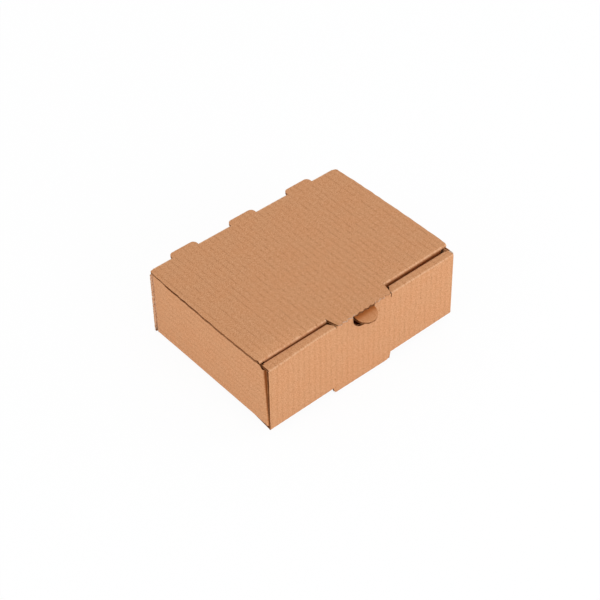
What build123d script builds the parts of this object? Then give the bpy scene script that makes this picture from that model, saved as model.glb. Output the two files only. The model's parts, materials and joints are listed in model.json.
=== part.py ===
from build123d import *
import math
import os

# French fry box: one die-cut and folded sheet of fine-flute corrugated board.
# X runs along the front, Y to the back and Z up. The origin is the middle of the base's underside.

# Board
board = 1.5
fold_inside = 0.4

# Folded box, over the outside
width = 120.0
depth = 89.0
side_height = 38.4
front_rise = 0.6

# Rolled front wall
cavity = 1.9
stand_gap = 0.2
slit = 0.3
slit_depth = 2.5

# Corner flaps, and the relief where the folds meet
corner_flap = 30.0
front_flap_drop = 2.0
back_flap_drop = 5.8
flap_gap = 0.2

# Thumb notch through both layers of the front, and the half-moon tongue that droops over it
thumb_radius = 6.9
thumb_sink = 1.4
tongue_gap = 0.8
tongue_droop = 12.5

# Slot tongue under the front, and the lock tab of the inner front panel
lock_width = 37.4
lock_drop = 4.1
lock_taper = 0.8
lock_corner = 1.8
lock_gap = 0.6

# Lid
lid_back_width = 120.0
lid_front_width = 122.8
lid_bow = 0.6
lid_corner = 2.2
lid_gap = 1.3
hinge_gap = 0.3

# Lid's front tab
tab_back_width = 37.0
tab_front_width = 33.8
tab_corner = 0.9
tab_gap = 0.4

# Lid's tuck flap
tuck_width = 112.0
tuck_length = 18.0
tuck_tilt = 6.0
tuck_taper = 3.0
tuck_corner = 6.0

# Vent tabs on the lid's back edge
vent_count = 3
vent_pitch = 36.8
vent_width = 16.0
vent_reach = 3.9
vent_corner = 2.4
vent_gap = 0.3

# Overrun of every cut
over = 5.0

# Worked out
fold_mid = fold_inside + board / 2
fold_outside = fold_inside + board
front_height = side_height + front_rise
strip_depth = board + cavity + board
y_outer = -depth / 2
y_front = y_outer + board / 2
y_inner = y_outer + strip_depth - board / 2
y_strip = y_outer + strip_depth
y_back = depth / 2 - board / 2
x_side = width / 2 - board / 2
hinge_z = side_height + board / 2
wall_top = side_height - hinge_gap
press_top = side_height - stand_gap
y_fold = y_strip + lid_gap
y_corner = depth / 2 - board - cavity / 2
inner_half = width / 2 - board - flap_gap


def folded(points, plane, half):
    """A strip of board folded along a line of points, drawn on a plane and run half to each side."""
    path = FilletPolyline(*points, radius=fold_mid)
    return extrude(plane * trace(path, line_width=board), amount=half, both=True)


def block(low, high):
    """A box between two corners."""
    size = [b - a for a, b in zip(low, high)]
    middle = [(a + b) / 2 for a, b in zip(low, high)]
    return Pos(*middle) * Box(*size)


def prism(plane, outline, low, high):
    """An outline on a plane, run from low to high along the plane's normal."""
    return extrude(plane.offset(low) * outline, amount=high - low)


def half_moon(radius):
    """A half disc hanging below the local X axis."""
    disc = Circle(radius)
    cover = Pos(0, radius) * Rectangle(2 * radius, 2 * radius)
    return disc - cover


def tapered(top, bottom, height, corner):
    """A hanging flap's outline: its top edge on the local X axis, its lower corners rounded."""
    outline = make_face(Polyline((-top / 2, 0), (top / 2, 0), (bottom / 2, -height),
                                 (-bottom / 2, -height), close=True))
    lower = outline.vertices().sort_by(Axis.Y)[:2]
    return fillet(lower, corner)


def front_tab(grow):
    """The lid's front tab in plan, larger by a gap all round, with its back end inside the lid."""
    back = tab_back_width / 2 + grow
    front = tab_front_width / 2 + grow
    return make_face(Polyline((-back, y_fold + fold_outside), (-back, y_fold), (-front, y_outer - grow),
                              (front, y_outer - grow), (back, y_fold), (back, y_fold + fold_outside),
                              close=True))


def wall_column():
    """Back wall, base, front panel, strip and inner front panel, folded from one run of the sheet."""
    points = [(y_back, wall_top), (y_back, board / 2), (y_front, board / 2),
              (y_front, front_height - board / 2), (y_inner, front_height - board / 2),
              (y_inner, board + stand_gap)]
    column = folded(points, Plane.YZ, width / 2)
    for side in (-1, 1):
        ends = sorted((side * inner_half, side * (width / 2 + over)))
        column -= block((ends[0], y_outer + board, board + stand_gap / 2),
                        (ends[1], y_strip + over, front_height + over))
        rim = sorted((side * (width / 2 - fold_outside), side * (width / 2 + over)))
        column -= block((rim[0], y_outer + fold_outside, -over),
                        (rim[1], -y_outer - fold_outside, board + stand_gap / 2))
    return column


def side_wall(side):
    """A side wall with its fold at the base and a corner flap at each end."""
    x_wall = side * x_side
    straight = y_corner - fold_mid
    foot = folded([(side * (width / 2 - over), board / 2), (x_wall, board / 2), (x_wall, side_height)],
                  Plane.XZ, straight)
    x_end = side * (width / 2 - corner_flap)
    wall = prism(Plane.XY, trace(FilletPolyline((x_end, -y_corner), (x_wall, -y_corner),
                                                (x_wall, y_corner), (x_end, y_corner),
                                                radius=fold_mid), line_width=board),
                 fold_outside, side_height)
    x_flap = sorted((side * (x_side - fold_mid), x_end - side * over))
    for reach, drop in ((-1, front_flap_drop), (1, back_flap_drop)):
        y_flap = sorted((reach * (y_corner - fold_mid), reach * depth / 2))
        wall -= block((x_flap[0], y_flap[0], side_height - drop),
                      (x_flap[1], y_flap[1], side_height + over))
    return foot + wall


def pressed_strip():
    """The middle of the strip, pressed down under the lid's tab, with the half-moon tongue in front."""
    droop = math.radians(tongue_droop)
    level = press_top - board / 2
    y_end = y_outer + board + flap_gap
    radius = thumb_radius - tongue_gap

    def run_to(y, half):
        foot = (y_inner, level - fold_outside)
        return folded([foot, (y_inner, level), (y, level - (y_inner - y) * math.tan(droop))], Plane.YZ, half)

    strip = run_to(y_end, tab_back_width / 2)
    strip = strip & prism(Plane.XY, front_tab(tab_gap - slit), 0, front_height)
    leaf = Plane(origin=(0, y_outer, level - (y_inner - y_outer) * math.tan(droop)), x_dir=(1, 0, 0),
                 z_dir=(0, -math.sin(droop), math.cos(droop)))
    return strip + run_to(y_outer, radius) + prism(leaf, half_moon(radius), -board / 2, board / 2)


def lock():
    """The slot tongue under the front panel, and the lock tab that the inner panel puts in the slot."""
    lower = Pos(0, fold_outside) * Rectangle(lock_width, 2 * fold_outside)
    lower += tapered(lock_width, lock_width - 2 * lock_taper, lock_drop, lock_corner)
    tongue = prism(Plane.XZ, lower, -y_outer - board, -y_outer)
    tab_width = lock_width - 2 * lock_gap
    tab = Pos(0, board + over) * tapered(tab_width, tab_width - 2 * lock_taper, board + over, lock_corner)
    return tongue + prism(Plane.XZ, tab, -y_strip, -y_strip + board)


def vent_places():
    """The middles of the vents along the back edge."""
    first = -vent_pitch * (vent_count - 1) / 2
    return [first + i * vent_pitch for i in range(vent_count)]


def make_tray():
    """Base, walls and flaps: everything below the lid's fold."""
    tray = wall_column() + side_wall(-1) + side_wall(1)
    tray -= prism(Plane.XY, front_tab(tab_gap), press_top, front_height + over)
    gap = front_tab(tab_gap) - front_tab(tab_gap - slit)
    tray -= prism(Plane.XY, gap, front_height - slit_depth, front_height + over)
    tray -= block((-tab_back_width / 2, y_outer + board, press_top - fold_outside),
                  (tab_back_width / 2, y_strip + over, front_height + over))
    notch = Pos(0, press_top - thumb_sink) * half_moon(thumb_radius)
    notch += Pos(0, press_top - thumb_sink / 2) * Rectangle(2 * thumb_radius, thumb_sink)
    tray -= prism(Plane.XZ, notch, -y_strip - stand_gap, -y_outer + over)
    tray += pressed_strip()
    tray -= block((-lock_width / 2, y_outer - over, -over),
                  (lock_width / 2, y_strip + stand_gap, fold_outside))
    tray += lock()
    drop = vent_reach + board / 2
    sweep = math.hypot(drop, board / 2) + vent_gap
    for x in vent_places():
        opening = Pos(x, hinge_z) * tapered(vent_width + 2 * vent_gap, vent_width + 2 * vent_gap, sweep,
                                            vent_corner)
        tray -= prism(Plane.XZ, opening, y_outer - over, -y_back + board)
    return tray


def make_lid():
    """Lid panel with its front tab, tuck flap and vent tabs."""
    back = lid_back_width / 2
    front = lid_front_width / 2
    middle = (y_back + y_fold) / 2
    bulge = (back + front) / 2 + lid_bow
    plan = make_face(Curve() + [
        Line((-back, y_back), (back, y_back)),
        ThreePointArc((back, y_back), (bulge, middle), (front, y_fold)),
        Line((front, y_fold), (-front, y_fold)),
        ThreePointArc((-front, y_fold), (-bulge, middle), (-back, y_back)),
    ])
    plan = fillet(plan.vertices().sort_by(Axis.Y)[-2:], lid_corner)
    panel = prism(Plane.XY, plan, side_height, side_height + board)
    bead = Pos(0, y_back, hinge_z) * Rot(0, 90, 0) * Cylinder(board / 2, lid_back_width - 2 * lid_corner)
    for side in (-1, 1):
        ends = sorted((side * tab_back_width / 2, side * tuck_width / 2))
        panel -= block((ends[0], y_fold - over, 0), (ends[1], y_fold + fold_outside, front_height + over))
    lean = math.radians(tuck_tilt)
    y_mid = y_fold + board / 2
    tip = (y_mid + tuck_length * math.sin(lean), hinge_z - tuck_length * math.cos(lean))
    tuck = folded([(y_fold + fold_outside + fold_mid, hinge_z), (y_mid, hinge_z), tip], Plane.YZ,
                  tuck_width / 2)
    shape = Pos(0, side_height + board) * tapered(tuck_width, tuck_width - 2 * tuck_taper,
                                                  tuck_length + board, tuck_corner)
    tuck = tuck & prism(Plane.XZ, shape, -y_fold - 2 * over, -y_fold + over)
    tab_length = y_fold - y_outer
    window = Pos(0, hinge_z) * tapered(tab_back_width, tab_front_width, tab_length, tab_corner)
    window += Pos(0, hinge_z + over / 2) * Rectangle(tab_back_width, over)
    tuck -= prism(Plane.XZ, window, -y_fold - 2 * over, -y_fold + over)
    tab_face = front_tab(0)
    tab_face = fillet(tab_face.vertices().sort_by(Axis.Y)[:2], tab_corner)
    tab = prism(Plane.XY, tab_face, side_height, side_height + board)
    lid = panel + bead + tuck + tab
    for x in vent_places():
        ear = Pos(x, y_back) * Rot(0, 0, 180) * tapered(vent_width, vent_width, vent_reach + board / 2,
                                                      vent_corner)
        lid += prism(Plane.XY, ear, side_height, side_height + board)
    return lid


os.makedirs("parts", exist_ok=True)
for name, solid in (("tray", make_tray()), ("lid", make_lid())):
    solid.label = name
    export_step(solid, f"parts/{name}.step")
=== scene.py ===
"""Looks of a folded takeaway box of fine-flute board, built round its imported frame."""

import json
import logging
import math
import random
from dataclasses import dataclass
from enum import Enum
from typing import Callable, Sequence, Union

import bmesh
import bpy
from mathutils import Matrix, Quaternion, Vector


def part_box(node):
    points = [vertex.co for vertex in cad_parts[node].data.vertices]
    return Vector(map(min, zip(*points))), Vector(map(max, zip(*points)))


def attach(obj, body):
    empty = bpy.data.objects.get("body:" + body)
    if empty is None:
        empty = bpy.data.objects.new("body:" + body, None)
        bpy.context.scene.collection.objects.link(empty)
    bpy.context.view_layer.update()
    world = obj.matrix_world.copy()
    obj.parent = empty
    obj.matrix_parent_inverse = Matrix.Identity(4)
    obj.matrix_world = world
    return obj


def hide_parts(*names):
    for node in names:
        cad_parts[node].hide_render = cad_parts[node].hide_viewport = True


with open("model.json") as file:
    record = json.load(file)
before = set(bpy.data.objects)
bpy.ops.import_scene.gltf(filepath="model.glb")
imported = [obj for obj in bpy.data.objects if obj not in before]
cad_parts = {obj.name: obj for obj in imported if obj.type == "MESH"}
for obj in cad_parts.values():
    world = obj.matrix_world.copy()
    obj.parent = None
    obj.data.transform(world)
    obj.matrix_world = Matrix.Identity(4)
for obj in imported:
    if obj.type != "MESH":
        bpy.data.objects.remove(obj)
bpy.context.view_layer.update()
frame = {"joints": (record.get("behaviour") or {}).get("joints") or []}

MM = 0.001
MICRON = 1e-6
RELIEF = 0.1 * MM
WHITE = (1.0, 1.0, 1.0, 1.0)

log = logging.getLogger("fry_box")

Point = tuple[float, float]
Place = Callable[[float, float, float], Vector]
Spread = Callable[[float, float], float]
Triple = tuple[float, float, float]
Colour = tuple[float, float, float, float]


def clamp(x: float) -> float:
    """Keeps a share between 0 and 1."""
    return min(1.0, max(0.0, x))


def smooth(low: float, high: float, x: float) -> float:
    """Runs from 0 at low to 1 at high with level ends."""
    t = clamp((x - low) / (high - low))
    return t * t * (3 - 2 * t)


def left_of(direction: Vector) -> Vector:
    """The direction a quarter turn to the left."""
    return Vector((-direction.y, direction.x))


def turn_between(into: Vector, out: Vector) -> float:
    """The angle from one direction to the next, positive to the left."""
    return math.atan2(into.x * out.y - into.y * out.x, into.dot(out))


def spread(low: float, high: float, steps: int) -> list[float]:
    """Evenly spaced values from low to high, both included."""
    return [low + (high - low) * i / steps for i in range(steps + 1)]


def arc(centre: Point, radius: float, start: float, end: float, steps: int) -> list[Point]:
    """Lays points along an arc.

    Args:
        centre: the arc's centre.
        radius: its radius.
        start: the first point's angle.
        end: the last point's angle.
        steps: straight pieces in the arc.

    Returns:
        The points, both ends included.
    """
    return [(centre[0] + radius * math.cos(a), centre[1] + radius * math.sin(a))
            for a in spread(start, end, steps)]


def nowhere(u: float, v: float) -> float:
    """A spread that leaves the whole sheet alone."""
    return 0.0


class Layer(Enum):
    """The three papers of the board, from the outside inwards."""

    OUTER = "outer"
    MEDIUM = "medium"
    INNER = "inner"


class Paper(Enum):
    """The material slots of a sheet."""

    LINER = 0
    RAW = 1
    FLUTE = 2


@dataclass(frozen=True)
class Board:
    """Fine-flute board: two liners with a waved medium between them, in metres."""

    thickness: float = 1.5 * MM
    liner: float = 0.26 * MM
    medium: float = 0.2 * MM
    pitch: float = 3.45 * MM
    steps: int = 8
    sag: float = 0.035 * MM
    phase: float = -0.38 * MM
    bend: float = 0.2 * MM
    crease_crush: float = 0.8
    press_share: float = 0.8

    @property
    def half(self) -> float:
        """Half the board's thickness."""
        return self.thickness / 2

    @property
    def turn(self) -> float:
        """How far from an outer face a fold's bend begins."""
        return self.half + self.bend

    def crush(self, h: float, crease: float) -> float:
        """Presses the board's inner side together in a crease."""
        return h if h > 0 else h * (1 - self.crease_crush * crease)

    def press(self, h: float, share: float) -> float:
        """Closes a share of the hollow between the liners."""
        hollow = self.half - self.liner - self.sag
        return h - self.press_share * share * max(-hollow, min(hollow, h))

    def pinch(self, h: float, share: float) -> float:
        """Thins the board by a share, with its outer face left in place."""
        return self.half - (self.half - h) * (1 - share)

    def height(self, layer: Layer, u: float, side: float) -> float:
        """Finds how far a paper's face stands from the board's middle.

        Args:
            layer: which paper.
            u: place across the flutes.
            side: 0 for the paper's lower face, 1 for its upper face.

        Returns:
            The signed distance, with the outer liner above.
        """
        angle = math.tau * (u + self.phase) / self.pitch
        wave = math.cos(angle)
        if layer is Layer.OUTER:
            return self.half - self.liner * (1 - side) - self.sag * (1 - wave) / 2
        if layer is Layer.INNER:
            return -self.half + self.liner * side + self.sag * (1 + wave) / 2
        rise = self.half - self.liner - self.medium / 2
        slope = rise * math.tau / self.pitch * math.sin(angle)
        return rise * wave + (side - 0.5) * self.medium * math.hypot(1, slope)


@dataclass(frozen=True)
class Stretch:
    """A part of a fold path, from one distance along it to another."""

    start: float
    length: float

    @property
    def end(self) -> float:
        """Distance along the path where the part ends."""
        return self.start + self.length


@dataclass(frozen=True)
class Run(Stretch):
    """A flat stretch of a fold path."""

    origin: Vector
    direction: Vector

    def at(self, v: float) -> tuple[Vector, Vector]:
        """The point at a distance along the path, and the direction to its left."""
        return self.origin + self.direction * (v - self.start), left_of(self.direction)

    def reach(self, point: Point) -> float:
        """The distance along the path that lies nearest to a point."""
        return self.start + (Vector(point) - self.origin).dot(self.direction)


@dataclass(frozen=True)
class Bend(Stretch):
    """A creased stretch of a fold path, an arc that meets both its neighbours in line."""

    centre: Vector
    entry: Vector
    turn: float
    radius: float

    def at(self, v: float) -> tuple[Vector, Vector]:
        """The point at a distance along the path, and the direction to its left.

        Args:
            v: place along the run.

        Returns:
            The point, and the direction to its left.
        """
        angle = self.turn * (v - self.start) / self.length
        spun = Matrix.Rotation(angle, 2) @ self.entry
        normal = left_of(spun)
        return self.centre - normal * math.copysign(self.radius, self.turn), normal


class FoldPath:
    """A line of flat runs joined by bends, seen along the folds."""

    def __init__(self, points: Sequence[Point], radii: Sequence[float]) -> None:
        """Lays the runs and bends end to end.

        Args:
            points: the corners of the line, with its two ends.
            radii: bend radius of the board's middle at each corner.
        """
        corners = [Vector(p) for p in points]
        self.runs: list[Run] = []
        self.bends: list[Bend] = []
        start, v = corners[0], 0.0
        for before, corner, after, radius in zip(corners, corners[1:], corners[2:], radii):
            into = (corner - before).normalized()
            out = (after - corner).normalized()
            turn = turn_between(into, out)
            inset = radius * math.tan(abs(turn) / 2)
            foot = corner - into * inset
            self.runs.append(Run(v, (foot - start).length, start, into))
            v = self.runs[-1].end
            centre = foot + left_of(into) * math.copysign(radius, turn)
            self.bends.append(Bend(v, radius * abs(turn), centre, into, turn, radius))
            v = self.bends[-1].end
            start = corner + out * inset
        last = corners[-1] - start
        self.runs.append(Run(v, last.length, start, last.normalized()))

    @property
    def end(self) -> float:
        """Length of the whole line."""
        return self.runs[-1].end

    def at(self, v: float) -> tuple[Vector, Vector]:
        """The point at a distance along the line, and the direction to its left.

        Args:
            v: place along the run.

        Returns:
            The point, and the direction to its left.
        """
        for run, bend in zip(self.runs, self.bends):
            if v <= run.end:
                return run.at(v)
            if v < bend.end:
                return bend.at(v)
        return self.runs[-1].at(v)

    def crease(self, v: float) -> float:
        """How much of a crease lies at a distance along the line, from 0 to 1.

        Args:
            v: place along the run.

        Returns:
            0 on a flat run, and up to 1 in the middle of a bend.
        """
        for bend in self.bends:
            if bend.start < v < bend.end:
                return math.sin(math.pi * (v - bend.start) / bend.length)
        return 0.0

    def stations(self, row: float, bend_steps: int) -> list[float]:
        """Picks the distances at which a sheet gets a row of points.

        Args:
            row: widest spacing on a flat run.
            bend_steps: rows in each bend.

        Returns:
            The distances in order, with both ends.
        """
        found = {0.0, self.end}
        for run in self.runs:
            found.update(spread(run.start, run.end, max(1, math.ceil(run.length / row))))
        for bend in self.bends:
            found.update(spread(bend.start, bend.end, bend_steps))
        ordered = sorted(found)
        return [a for a, b in zip(ordered, ordered[1:]) if b - a > MICRON] + [ordered[-1]]


class Sheet:
    """A die-cut piece of board, trimmed flat and then folded paper by paper."""

    def __init__(self, board: Board, span: Point, rows: Sequence[float]) -> None:
        """Starts from a rectangle with a column of faces for each part of a flute.

        Args:
            board: the board's section.
            span: lowest and highest place across the flutes.
            rows: places along the flutes that get a line of points.
        """
        self.board = board
        self.flat = bmesh.new()
        width = span[1] - span[0]
        columns = max(1, round(width * board.steps / board.pitch))
        last = len(rows) - 1
        bmesh.ops.create_grid(self.flat, x_segments=columns, y_segments=last, size=0.5)
        for vert in self.flat.verts:
            row = rows[round((vert.co.y + 0.5) * last)]
            vert.co = Vector((span[0] + (vert.co.x + 0.5) * width, row, 0))

    def cut(self, corners: Sequence[Point]) -> None:
        """Takes a convex patch out of the flat sheet.

        Args:
            corners: the patch's corners, in order.
        """
        ring = [Vector((u, v, 0)) for u, v in corners]
        area = sum(a.x * b.y - a.y * b.x for a, b in zip(ring, ring[1:] + ring[:1]))
        if area < 0:
            ring.reverse()
        edges = zip(ring, ring[1:] + ring[:1])
        sides = [(a, Vector(((b - a).y, (a - b).x, 0)).normalized()) for a, b in edges]
        low = Vector(map(min, *ring))
        high = Vector(map(max, *ring))
        near = [f for f in self.flat.faces if self.meets(f, low, high)]
        for point, outward in sides:
            geom = dict.fromkeys(near)
            for face in near:
                geom.update(dict.fromkeys(face.edges))
                geom.update(dict.fromkeys(face.verts))
            done = bmesh.ops.bisect_plane(self.flat, geom=list(geom), dist=MICRON, plane_co=point,
                                          plane_no=outward)
            near = [g for g in done["geom"] if isinstance(g, bmesh.types.BMFace)]
        doomed = []
        for face in near:
            middle = face.calc_center_median()
            if all((middle - point).dot(outward) < 0 for point, outward in sides):
                doomed.append(face)
        bmesh.ops.delete(self.flat, geom=doomed, context="FACES")

    @staticmethod
    def meets(face: bmesh.types.BMFace, low: Vector, high: Vector) -> bool:
        """Whether a face's box meets the box between two corners.

        Args:
            face: the face.
            low: the box's lowest corner.
            high: its highest corner.

        Returns:
            True if they meet.
        """
        us = [vert.co.x for vert in face.verts]
        vs = [vert.co.y for vert in face.verts]
        return min(us) < high.x and max(us) > low.x and min(vs) < high.y and max(vs) > low.y

    def cut_box(self, u: Point, v: Point) -> None:
        """Takes out the rectangle between two places across and two along the flutes."""
        self.cut([(u[0], v[0]), (u[1], v[0]), (u[1], v[1]), (u[0], v[1])])

    def round_off(self, corner: Point, before: Point, after: Point, radius: float, steps: int = 5) -> None:
        """Rounds an outer corner of the flat sheet.

        Args:
            corner: the corner.
            before: a point on the edge on one side of it.
            after: a point on the edge on its other side.
            radius: the rounding's radius.
            steps: straight pieces in the arc.
        """
        tip = Vector(corner)
        into = (tip - Vector(before)).normalized()
        out = (Vector(after) - tip).normalized()
        turn = turn_between(into, out)
        inset = radius * math.tan(abs(turn) / 2)
        centre = tip - into * inset + left_of(into) * math.copysign(radius, turn)
        rounding = Bend(0, 1, centre, into, turn, radius)
        points = [rounding.at(t)[0] for t in spread(0, 1, steps)]
        for a, b in zip(points, points[1:]):
            self.cut([tuple(tip), tuple(a), tuple(b)])

    def fold(self, name: str, place: Place, crease: Spread, unshaded_and_torn: Spread = nowhere,
             painted_shade: Spread = nowhere) -> bpy.types.Object:
        """Gives the sheet its three papers and folds them.

        Args:
            name: the new piece's name.
            place: where a point of the board goes, from its place across, along and through it.
            crease: how creased the board is at a place across and along it.
            unshaded_and_torn: how far a cut edge is lifted from its painted shade to its plain colour, and
                how torn it is, at a place across and along the board.
            painted_shade: how much painted shade darkens the paper at a place across and along the board.

        Returns:
            The folded piece.
        """
        self.thicken({"crease": crease, "unshaded_and_torn": unshaded_and_torn, "painted_shade": painted_shade})
        whole = bmesh.new()
        for layer in Layer:
            paper = self.flat.copy()
            self.sort_faces(paper, layer)
            for vert in paper.verts:
                u, v, side = vert.co
                vert.co = place(u, v, self.board.height(layer, u, side))
            mesh = bpy.data.meshes.new(name)
            paper.to_mesh(mesh)
            paper.free()
            whole.from_mesh(mesh)
            bpy.data.meshes.remove(mesh)
        self.flat.free()
        return make_piece(name, whole)

    def thicken(self, marks: dict[str, Spread]) -> None:
        """Closes the flat sheet into a slab, and notes its flutes and marks.

        Args:
            marks: how strong each mark is at a place across and along the board, by name.
        """
        made = bmesh.ops.extrude_face_region(self.flat, geom=self.flat.faces[:])
        upper = [g for g in made["geom"] if isinstance(g, bmesh.types.BMVert)]
        bmesh.ops.translate(self.flat, verts=upper, vec=(0, 0, 1))
        bmesh.ops.recalc_face_normals(self.flat, faces=self.flat.faces[:])
        blank = self.flat.loops.layers.uv.new("blank")
        for name, strength in marks.items():
            mark = self.flat.verts.layers.float.new(name)
            for vert in self.flat.verts:
                vert[mark] = strength(vert.co.x, vert.co.y)
        for face in self.flat.faces:
            for loop in face.loops:
                loop[blank].uv = (loop.vert.co.xy + Vector((self.board.phase, 0))) / self.board.pitch

    @staticmethod
    def sort_faces(paper: bmesh.types.BMesh, layer: Layer) -> None:
        """Gives one paper's faces and cut edges their material slots and shading.

        Args:
            paper: the paper's shape, still flat.
            layer: which paper it is.
        """
        paper.normal_update()
        for face in paper.faces:
            rim = abs(face.normal.z) < 0.5
            flat = Paper.FLUTE if layer is Layer.MEDIUM else Paper.LINER
            face.material_index = (Paper.RAW if rim else flat).value
            face.smooth = not rim
            if rim:
                for edge in face.edges:
                    edge.smooth = False


def make_piece(name: str, shape: bmesh.types.BMesh) -> bpy.types.Object:
    """Turns a bmesh into an object at the origin.

    Args:
        name: the piece's name.
        shape: its shape, which is freed.

    Returns:
        The new object, linked to the scene.
    """
    mesh = bpy.data.meshes.new(name)
    shape.to_mesh(mesh)
    shape.free()
    piece = bpy.data.objects.new(name, mesh)
    bpy.context.scene.collection.objects.link(piece)
    return piece


Number = Union[float, "Signal"]


class Signal:
    """A number socket of a material, with arithmetic."""

    def __init__(self, graph: "Graph", socket: bpy.types.NodeSocket) -> None:
        """Wraps an output socket of a graph."""
        self.graph = graph
        self.socket = socket

    def math(self, operation: str, *values: Number) -> "Signal":
        """Adds a Math node on some values.

        Args:
            operation: the node's operation.
            values: its inputs, in order.

        Returns:
            The node's result.
        """
        inputs = dict(enumerate(values))
        node = self.graph.node("ShaderNodeMath", {"operation": operation}, inputs)
        return Signal(self.graph, node.outputs[0])

    def __add__(self, other: Number) -> "Signal":
        """Sum."""
        return self.math("ADD", self, other)

    __radd__ = __add__

    def __mul__(self, other: Number) -> "Signal":
        """Product."""
        return self.math("MULTIPLY", self, other)

    __rmul__ = __mul__

    def __sub__(self, other: Number) -> "Signal":
        """Difference."""
        return self.math("SUBTRACT", self, other)

    def __rsub__(self, other: Number) -> "Signal":
        """Difference from a number."""
        return self.math("SUBTRACT", other, self)

    def __abs__(self) -> "Signal":
        """Size without sign."""
        return self.math("ABSOLUTE", self)

    def cosine(self) -> "Signal":
        """Cosine of an angle in radians."""
        return self.math("COSINE", self)

    def fraction(self) -> "Signal":
        """What is left past the last whole number."""
        return self.math("FRACT", self)

    def step(self, low: float, high: float) -> "Signal":
        """Runs smoothly from 0 at low to 1 at high.

        Args:
            low: where the step starts.
            high: where it ends.

        Returns:
            The stepped value.
        """
        inputs = {"Value": self, "From Min": low, "From Max": high}
        node = self.graph.node("ShaderNodeMapRange", {"interpolation_type": "SMOOTHSTEP"}, inputs)
        return Signal(self.graph, node.outputs[0])


@dataclass(frozen=True)
class Cloud:
    """A cloud pattern: its features to a unit of each coordinate, and its octaves."""

    stretch: Triple
    detail: float


class Graph:
    """The nodes of one material or world."""

    def __init__(self, owner: Union[bpy.types.Material, bpy.types.World]) -> None:
        """Clears the owner's nodes.

        Args:
            owner: what the nodes belong to.
        """
        owner.use_nodes = True
        self.tree = owner.node_tree
        self.tree.nodes.clear()

    def node(self, kind: str, settings: dict[str, object] | None = None,
             inputs: dict[Union[str, int], object] | None = None) -> bpy.types.Node:
        """Adds a node.

        Args:
            kind: the node's type.
            settings: its properties, set first.
            inputs: values or links of its sockets, by name or number.

        Returns:
            The new node.
        """
        made = self.tree.nodes.new(kind)
        for key, value in (settings or {}).items():
            setattr(made, key, value)
        for key, value in (inputs or {}).items():
            socket = made.inputs[key]
            if isinstance(value, Signal):
                self.tree.links.new(value.socket, socket)
            elif isinstance(value, bpy.types.NodeSocket):
                self.tree.links.new(value, socket)
            else:
                socket.default_value = value
        return made

    def mark(self, name: str) -> Signal:
        """Reads a mark that a sheet carries."""
        return Signal(self, self.node("ShaderNodeAttribute", {"attribute_name": name}).outputs["Fac"])

    def mix(self, share: Number, a: object, b: object) -> bpy.types.NodeSocket:
        """Mixes two colours.

        Args:
            share: how much of the second.
            a: the first colour.
            b: the second colour.

        Returns:
            The mixed colour's socket.
        """
        made = self.node("ShaderNodeMix", {"data_type": "RGBA"}, {0: share, 6: a, 7: b})
        return made.outputs[2]

    def noise(self, place: bpy.types.NodeSocket, cloud: Cloud) -> Signal:
        """Adds a cloud pattern.

        Args:
            place: the coordinates it lies on.
            cloud: the pattern.

        Returns:
            Its value, near 0.5 on average.
        """
        scaled = self.node("ShaderNodeVectorMath", {"operation": "MULTIPLY"}, {0: place, 1: cloud.stretch})
        made = self.node("ShaderNodeTexNoise", None,
                         {"Vector": scaled.outputs[0], "Scale": 1.0, "Detail": cloud.detail})
        return Signal(self, made.outputs[0])

    def seen(self) -> Signal:
        """1 for rays that show a surface to the viewer, 0 for those that only carry its light.

        Returns:
            The share, 0 or 1.
        """
        rays = self.node("ShaderNodeLightPath").outputs
        shown = Signal(self, rays["Is Camera Ray"]) + Signal(self, rays["Is Glossy Ray"])
        shown = shown + Signal(self, rays["Is Transmission Ray"])
        return shown.math("MINIMUM", shown, 1.0)

    def skin(self, colour: bpy.types.NodeSocket, roughness: Number, gloss: float, bump: float,
             height: Signal) -> None:
        """Links a skin with fine relief to the output.

        Args:
            colour: its colour.
            roughness: its roughness.
            gloss: how much it reflects.
            bump: how strong its relief is.
            height: the relief.
        """
        rise = self.node("ShaderNodeBump", None, {"Strength": bump, "Distance": RELIEF, "Height": height})
        made = self.node("ShaderNodeBsdfPrincipled", None, {
            "Base Color": colour, "Roughness": roughness, "Specular IOR Level": gloss,
            "Normal": rise.outputs[0]})
        self.finish(made.outputs[0])

    def finish(self, shader: bpy.types.NodeSocket, output: str = "ShaderNodeOutputMaterial") -> None:
        """Links a shader to the output."""
        self.node(output, None, {"Surface": shader})


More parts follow.
